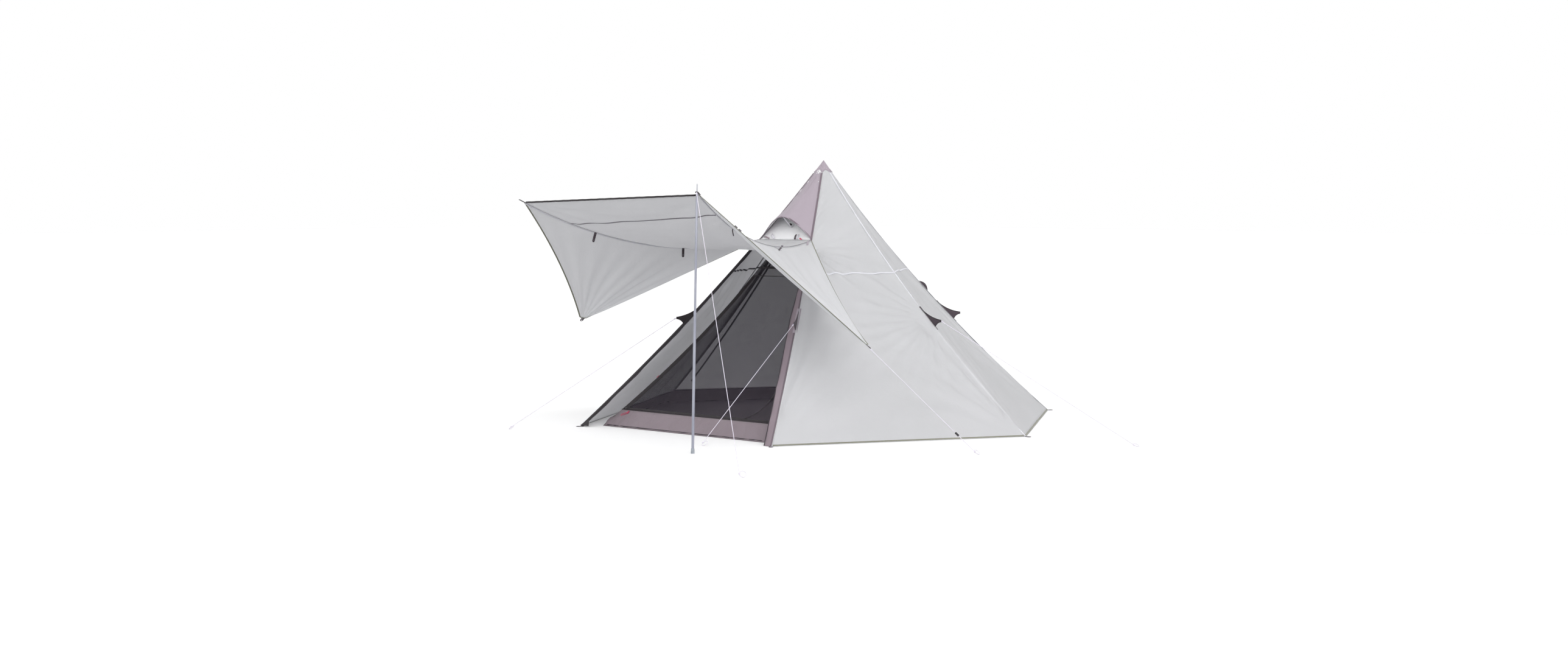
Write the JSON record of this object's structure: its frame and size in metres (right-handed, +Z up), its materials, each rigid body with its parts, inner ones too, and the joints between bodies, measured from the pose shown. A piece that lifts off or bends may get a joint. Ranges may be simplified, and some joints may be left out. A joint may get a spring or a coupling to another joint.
{
  "type": "pyramid tent",
  "caption": "Six-sided pyramid tent with an inner tent, a vent hood, guy lines and its door panel raised on a pole as an awning.",
  "frame": {"origin": "on the ground under the centre pole, at the middle of the tray floor", "axes": "+Z up along the centre pole; -Y out of the door, under the awning; +X to the right of someone looking in"},
  "size_m": [4.9329, 4.7866, 2.052],
  "materials": {
    "fly_cloth": "matt, coated",
    "trim_cloth": "matt, coated",
    "tray_cloth": "matt, coated",
    "mesh": "fine net, see-through",
    "dark_webbing": "woven",
    "prop_tape": "woven",
    "pole": "satin",
    "plastic": "moulded",
    "cord": "braided",
    "zip_red": "satin"
  },
  "bodies": {
    "tent": {"apex_cap": "trim_cloth", "awning_binding": "dark_webbing", "awning_loop_front_left": "dark_webbing", "awning_loop_front_right": "dark_webbing", "awning_loop_side_left": "dark_webbing", "awning_loop_side_right": "dark_webbing", "awning_pole_foot": "plastic", "awning_pole_lower": "pole", "awning_roof": "fly_cloth", "awning_wing_left": "fly_cloth", "awning_wing_right": "fly_cloth", "centre_pole_collar": "plastic", "centre_pole_foot": "plastic", "centre_pole_lower": "pole", "door_strip_left": "dark_webbing", "door_strip_right": "trim_cloth", "fly_front_left": "fly_cloth", "fly_front_right": "fly_cloth", "fly_rear": "fly_cloth", "fly_rear_left": "fly_cloth", "fly_rear_right": "fly_cloth", "fly_vent_panel": "fly_cloth", "guy_tab_front_left": "dark_webbing", "guy_tab_front_right": "dark_webbing", "guy_tab_left": "dark_webbing", "guy_tab_rear_left": "dark_webbing", "guy_tab_rear_right": "dark_webbing", "guy_tab_right": "dark_webbing", "inner_door_header": "mesh", "inner_front_left": "mesh", "inner_front_right": "mesh", "inner_peak": "dark_webbing", "inner_rear": "mesh", "inner_rear_left": "mesh", "inner_rear_right": "mesh", "inner_tray": "tray_cloth", "line_corner": "cord", "line_front_left": "cord", "line_front_right": "cord", "line_pole": "cord", "line_right": "cord", "peg_loop_front_left": "dark_webbing", "peg_loop_front_right": "dark_webbing", "peg_loop_left": "dark_webbing", "peg_loop_rear_left": "dark_webbing", "peg_loop_rear_right": "dark_webbing", "peg_loop_right": "dark_webbing", "ridge_tab": "dark_webbing", "vent_hood": "trim_cloth"},
    "mesh_door": {"mesh_door": "mesh"},
    "awning_pole_top": {"awning_pole_upper": "pole", "awning_pole_spike": "pole"},
    "centre_pole_top": {"centre_pole_upper": "pole", "centre_pole_cup": "plastic"},
    "hood_prop": {"hood_prop": "prop_tape"},
    "zip_sill": {"zip_slider_sill": "zip_red"},
    "zip_side": {"zip_slider_side": "zip_red"},
    "strap_front": {"awning_strap_front": "dark_webbing"},
    "strap_rear": {"awning_strap_rear": "dark_webbing"},
    "tensioner": {"line_tensioner": "plastic"}
  },
  "joints": [
    {"name": "door_swing", "type": "hinge", "parent": "tent", "child": "mesh_door", "pos_m": [0.82147, -1.42283, 0.126], "axis": [-0.3598, 0.6232, 0.6944], "range_deg": [0, 30]},
    {"name": "awning_pole_slide", "type": "slide", "parent": "tent", "child": "awning_pole_top", "axis": [0.0373, -0.0106, 0.9992], "range_m": [-0.35, 0]},
    {"name": "centre_pole_slide", "type": "slide", "parent": "tent", "child": "centre_pole_top", "axis": [0, 0, 1], "range_m": [-0.5, 0]},
    {"name": "prop_fold", "type": "hinge", "parent": "tent", "child": "hood_prop", "pos_m": [-0.00564, -0.47484, 1.60757], "axis": [-1, 0, 0], "range_deg": [0, 58]},
    {"name": "sill_zip_run", "type": "slide", "parent": "tent", "child": "zip_sill", "axis": [1, 0, 0], "range_m": [0, 1.3]},
    {"name": "side_zip_run", "type": "slide", "parent": "tent", "child": "zip_side", "axis": [0.3562, 0.617, 0.7017], "range_m": [0, 0.925]},
    {"name": "strap_front_swing", "type": "hinge", "parent": "tent", "child": "strap_front", "pos_m": [-0.71421, -1.79874, 1.49462], "axis": [0.3055, 0.9099, -0.2807], "range_deg": [-60, 10]},
    {"name": "strap_rear_swing", "type": "hinge", "parent": "tent", "child": "strap_rear", "pos_m": [-0.47921, -1.09873, 1.37306], "axis": [0.318, 0.9474, -0.0368], "range_deg": [-60, 10]},
    {"name": "tensioner_slide", "type": "slide", "parent": "tent", "child": "tensioner", "axis": [0.7714, 0.1127, -0.6263], "range_m": [-0.5, 0.08]}
  ]
}
